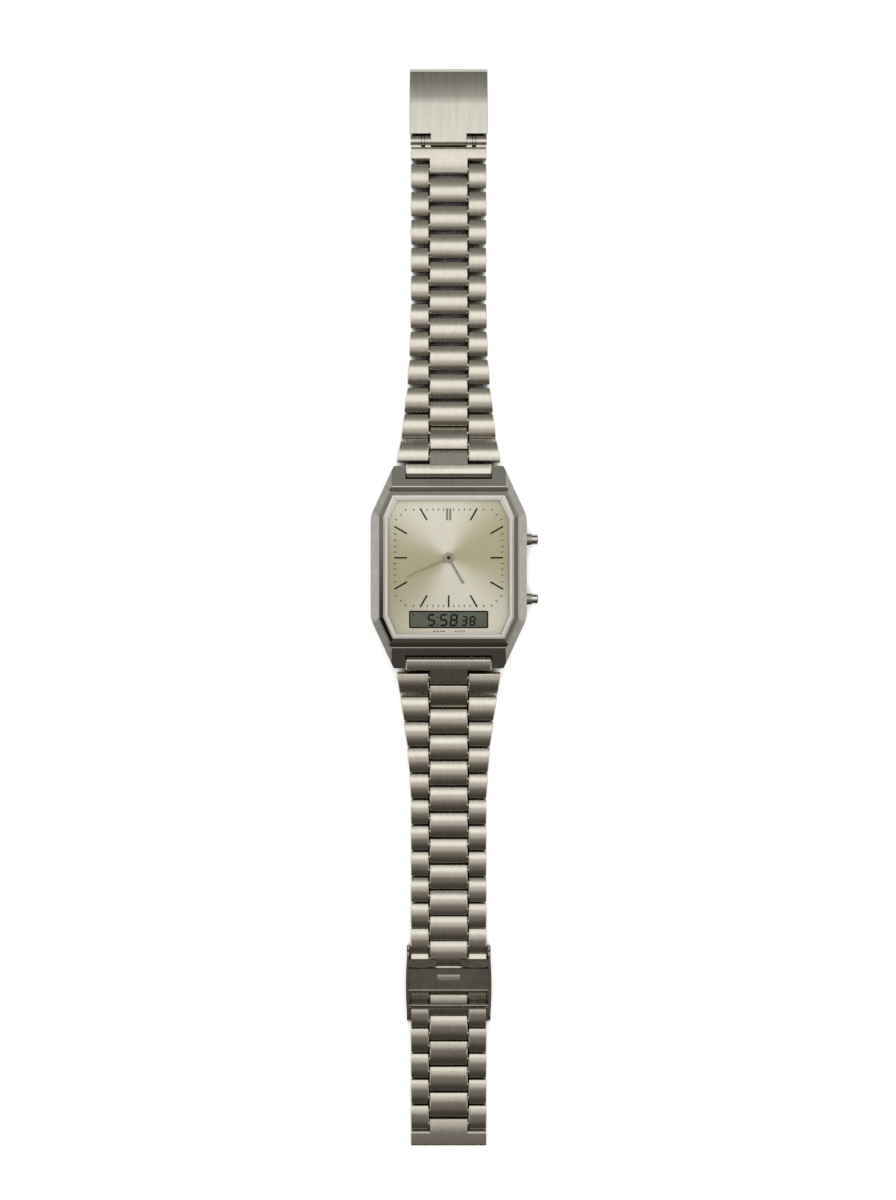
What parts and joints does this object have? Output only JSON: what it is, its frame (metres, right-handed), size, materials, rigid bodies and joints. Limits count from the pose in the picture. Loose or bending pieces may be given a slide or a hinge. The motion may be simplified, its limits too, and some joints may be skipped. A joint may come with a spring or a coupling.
{
  "type": "wristwatch",
  "caption": "Slim wristwatch with hands above a small digital display, in an angular metal case on a bracelet of staggered folded links with a sliding clasp, laid open flat.",
  "frame": {"origin": "centre of the case back's flat face, where the head rests", "axes": "+Z out of the dial, +Y to 12 o'clock along the bracelet, +X to 3 o'clock"},
  "size_m": [0.0321, 0.207, 0.0081],
  "materials": {
    "case_metal": "bright plated metal with brushed lug facets",
    "bezel_metal": "polished plated frame",
    "link_steel": "folded stainless sheet, brushed along the band",
    "clasp_steel": "polished stainless sheet",
    "pin_steel": "drawn stainless wire",
    "back_steel": "brushed stainless plate",
    "crystal_glass": "clear mineral glass",
    "dial_metal": "champagne silver, brushed as a sunburst",
    "baton_black": "black applied batons",
    "hand_metal": "bright plated hands",
    "lcd_glass": "grey-green display cell",
    "seal_rubber": "soft black seal",
    "seal_nylon": "moulded white nylon",
    "module_resin": "moulded movement plate",
    "board_resin": "circuit board",
    "cell_metal": "button cell can",
    "brass": "wheel brass",
    "copper_wire": "enamelled winding",
    "magnet": "rotor magnet"
  },
  "bodies": {
    "head": {"case_middle": "case_metal", "bezel": "bezel_metal", "crystal": "crystal_glass", "crystal_gasket": "seal_nylon", "dial": "dial_metal", "dial_markers": "baton_black", "lcd_panel": "lcd_glass", "lcd_connectors": "seal_rubber", "module_plate": "module_resin", "circuit_board": "board_resin", "button_cell": "cell_metal", "buzzer": "brass", "motor_coil": "copper_wire", "motor_stator": "cell_metal", "case_back": "back_steel", "back_gasket": "seal_rubber", "back_screws": "pin_steel", "spring_bars": "pin_steel", "pusher_collars": "case_metal", "pusher_springs": "pin_steel"},
    "minute_hand": {"minute_hand": "hand_metal", "cannon_pinion": "brass"},
    "hour_hand": {"hour_hand": "hand_metal", "hour_wheel": "brass"},
    "minute_wheel": {"minute_wheel": "brass"},
    "intermediate_wheel": {"intermediate_wheel": "brass"},
    "rotor": {"rotor": "magnet"},
    "pusher_upper": {"pusher_upper": "case_metal"},
    "pusher_lower": {"pusher_lower": "case_metal"},
    "end_piece_12": {"end_piece_12": "link_steel"},
    "link_12_01": {"link_12_01": "link_steel"},
    "link_12_02": {"link_12_02": "link_steel"},
    "link_12_03": {"link_12_03": "link_steel"},
    "link_12_04": {"link_12_04": "link_steel"},
    "link_12_05": {"link_12_05": "link_steel"},
    "link_12_06": {"link_12_06": "link_steel"},
    "link_12_07": {"link_12_07": "link_steel"},
    "link_12_08": {"link_12_08": "link_steel"},
    "link_12_09": {"link_12_09": "link_steel"},
    "link_12_10": {"link_12_10": "link_steel"},
    "clasp_end_link": {"clasp_end_link": "clasp_steel"},
    "clasp_cover": {"clasp_cover": "clasp_steel"},
    "end_piece_6": {"end_piece_6": "link_steel"},
    "link_6_01": {"link_6_01": "link_steel"},
    "link_6_02": {"link_6_02": "link_steel"},
    "link_6_03": {"link_6_03": "link_steel"},
    "link_6_04": {"link_6_04": "link_steel"},
    "link_6_05": {"link_6_05": "link_steel"},
    "link_6_06": {"link_6_06": "link_steel"},
    "link_6_07": {"link_6_07": "link_steel"},
    "link_6_08": {"link_6_08": "link_steel"},
    "link_6_09": {"link_6_09": "link_steel"},
    "clamped_links": {"clamped_links": "link_steel"},
    "link_6_15": {"link_6_15": "link_steel"},
    "link_6_16": {"link_6_16": "link_steel"},
    "link_6_17": {"link_6_17": "link_steel"},
    "tail_link": {"tail_link": "link_steel"},
    "slider_frame": {"slider_frame": "clasp_steel"},
    "slider_lock_plate": {"slider_lock_plate": "clasp_steel"}
  },
  "joints": [
    {"name": "minute_hand_turn", "type": "hinge", "parent": "head", "child": "minute_hand", "pos_m": [0, 0.00178, 0.005], "axis": [0, 0, 1], "continuous": true},
    {"name": "hour_hand_turn", "type": "hinge", "parent": "head", "child": "hour_hand", "pos_m": [0, 0.00178, 0.005], "axis": [0, 0, 1], "continuous": true},
    {"name": "minute_wheel_turn", "type": "hinge", "parent": "head", "child": "minute_wheel", "pos_m": [0.00184, 0.00024, 0.005], "axis": [0, 0, 1], "continuous": true},
    {"name": "intermediate_wheel_turn", "type": "hinge", "parent": "head", "child": "intermediate_wheel", "pos_m": [0.00114, 0.00375, 0.005], "axis": [0, 0, 1], "continuous": true},
    {"name": "rotor_turn", "type": "hinge", "parent": "head", "child": "rotor", "pos_m": [0.00221, 0.00561, 0.005], "axis": [0, 0, 1], "continuous": true},
    {"name": "pusher_upper_press", "type": "slide", "parent": "head", "child": "pusher_upper", "axis": [-1, 0, 0], "range_m": [0, 0.0007], "stiffness_N_per_m": 500, "springref_m": -0.001, "deforming": ["pusher_springs"]},
    {"name": "pusher_lower_press", "type": "slide", "parent": "head", "child": "pusher_lower", "axis": [-1, 0, 0], "range_m": [0, 0.0007], "stiffness_N_per_m": 500, "springref_m": -0.001, "deforming": ["pusher_springs"]},
    {"name": "end_piece_12_swing", "type": "hinge", "parent": "head", "child": "end_piece_12", "pos_m": [0, 0.0184, 0.0042], "axis": [1, 0, 0], "range_deg": [-25, 5]},
    {"name": "link_12_01_bend", "type": "hinge", "parent": "end_piece_12", "child": "link_12_01", "pos_m": [0, 0.02118, 0.00308], "axis": [1, 0, 0], "range_deg": [-18, 10]},
    {"name": "link_12_02_bend", "type": "hinge", "parent": "link_12_01", "child": "link_12_02", "pos_m": [0, 0.0258, 0.0012], "axis": [1, 0, 0], "range_deg": [-18, 10]},
    {"name": "link_12_03_bend", "type": "hinge", "parent": "link_12_02", "child": "link_12_03", "pos_m": [0, 0.03078, 0.00111], "axis": [1, 0, 0], "range_deg": [-18, 10]},
    {"name": "link_12_04_bend", "type": "hinge", "parent": "link_12_03", "child": "link_12_04", "pos_m": [0, 0.03615, 0.0011], "axis": [1, 0, 0], "range_deg": [-18, 10]},
    {"name": "link_12_05_bend", "type": "hinge", "parent": "link_12_04", "child": "link_12_05", "pos_m": [0, 0.04154, 0.0011], "axis": [1, 0, 0], "range_deg": [-18, 10]},
    {"name": "link_12_06_bend", "type": "hinge", "parent": "link_12_05", "child": "link_12_06", "pos_m": [0, 0.04691, 0.0011], "axis": [1, 0, 0], "range_deg": [-18, 10]},
    {"name": "link_12_07_bend", "type": "hinge", "parent": "link_12_06", "child": "link_12_07", "pos_m": [0, 0.0523, 0.0011], "axis": [1, 0, 0], "range_deg": [-18, 10]},
    {"name": "link_12_08_bend", "type": "hinge", "parent": "link_12_07", "child": "link_12_08", "pos_m": [0, 0.05767, 0.0011], "axis": [1, 0, 0], "range_deg": [-18, 10]},
    {"name": "link_12_09_bend", "type": "hinge", "parent": "link_12_08", "child": "link_12_09", "pos_m": [0, 0.06305, 0.0011], "axis": [1, 0, 0], "range_deg": [-18, 10]},
    {"name": "link_12_10_bend", "type": "hinge", "parent": "link_12_09", "child": "link_12_10", "pos_m": [0, 0.06843, 0.0011], "axis": [1, 0, 0], "range_deg": [-18, 10]},
    {"name": "clasp_end_link_bend", "type": "hinge", "parent": "link_12_10", "child": "clasp_end_link", "pos_m": [0, 0.07382, 0.0011], "axis": [1, 0, 0], "range_deg": [-18, 10]},
    {"name": "clasp_cover_lift", "type": "hinge", "parent": "clasp_end_link", "child": "clasp_cover", "pos_m": [0, 0.08195, 0.0011], "axis": [1, 0, 0], "range_deg": [-30, 100]},
    {"name": "end_piece_6_swing", "type": "hinge", "parent": "head", "child": "end_piece_6", "pos_m": [0, -0.0184, 0.0042], "axis": [-1, 0, 0], "range_deg": [-25, 5]},
    {"name": "link_6_01_bend", "type": "hinge", "parent": "end_piece_6", "child": "link_6_01", "pos_m": [0, -0.02118, 0.00308], "axis": [-1, 0, 0], "range_deg": [-14, 10]},
    {"name": "link_6_02_bend", "type": "hinge", "parent": "link_6_01", "child": "link_6_02", "pos_m": [0, -0.0258, 0.0012], "axis": [-1, 0, 0], "range_deg": [-14, 10]},
    {"name": "link_6_03_bend", "type": "hinge", "parent": "link_6_02", "child": "link_6_03", "pos_m": [0, -0.03078, 0.00111], "axis": [-1, 0, 0], "range_deg": [-14, 10]},
    {"name": "link_6_04_bend", "type": "hinge", "parent": "link_6_03", "child": "link_6_04", "pos_m": [0, -0.03576, 0.0011], "axis": [-1, 0, 0], "range_deg": [-14, 10]},
    {"name": "link_6_05_bend", "type": "hinge", "parent": "link_6_04", "child": "link_6_05", "pos_m": [0, -0.04074, 0.0011], "axis": [-1, 0, 0], "range_deg": [-14, 10]},
    {"name": "link_6_06_bend", "type": "hinge", "parent": "link_6_05", "child": "link_6_06", "pos_m": [0, -0.04571, 0.0011], "axis": [-1, 0, 0], "range_deg": [-14, 10]},
    {"name": "link_6_07_bend", "type": "hinge", "parent": "link_6_06", "child": "link_6_07", "pos_m": [0, -0.05069, 0.0011], "axis": [-1, 0, 0], "range_deg": [-14, 10]},
    {"name": "link_6_08_bend", "type": "hinge", "parent": "link_6_07", "child": "link_6_08", "pos_m": [0, -0.05568, 0.0011], "axis": [-1, 0, 0], "range_deg": [-14, 10]},
    {"name": "link_6_09_bend", "type": "hinge", "parent": "link_6_08", "child": "link_6_09", "pos_m": [0, -0.06066, 0.00114], "axis": [-1, 0, 0], "range_deg": [-14, 10]},
    {"name": "clamped_links_bend", "type": "hinge", "parent": "link_6_09", "child": "clamped_links", "pos_m": [0, -0.06561, 0.00165], "axis": [-1, 0, 0], "range_deg": [-14, 10]},
    {"name": "link_6_15_bend", "type": "hinge", "parent": "clamped_links", "child": "link_6_15", "pos_m": [0, -0.08946, 0.00165], "axis": [-1, 0, 0], "range_deg": [-14, 10]},
    {"name": "link_6_16_bend", "type": "hinge", "parent": "link_6_15", "child": "link_6_16", "pos_m": [0, -0.09441, 0.00114], "axis": [-1, 0, 0], "range_deg": [-14, 10]},
    {"name": "link_6_17_bend", "type": "hinge", "parent": "link_6_16", "child": "link_6_17", "pos_m": [0, -0.09939, 0.0011], "axis": [-1, 0, 0], "range_deg": [-14, 10]},
    {"name": "tail_link_bend", "type": "hinge", "parent": "link_6_17", "child": "tail_link", "pos_m": [0, -0.10437, 0.0011], "axis": [-1, 0, 0], "range_deg": [-14, 10]},
    {"name": "clasp_slide", "type": "slide", "parent": "clamped_links", "child": "slider_frame", "axis": [0, 1, 0], "range_m": [0, 0.00477]},
    {"name": "lock_plate_lift", "type": "hinge", "parent": "slider_frame", "child": "slider_lock_plate", "pos_m": [0, -0.08101, 0.0033], "axis": [1, 0, 0], "range_deg": [0, 70]}
  ],
  "couplings": [
    {"joint": "hour_hand_turn", "follows": "minute_hand_turn", "ratio": 0.083333},
    {"joint": "minute_wheel_turn", "follows": "minute_hand_turn", "ratio": -0.33333},
    {"joint": "intermediate_wheel_turn", "follows": "minute_hand_turn", "ratio": -9},
    {"joint": "rotor_turn", "follows": "minute_hand_turn", "ratio": 90}
  ]
}
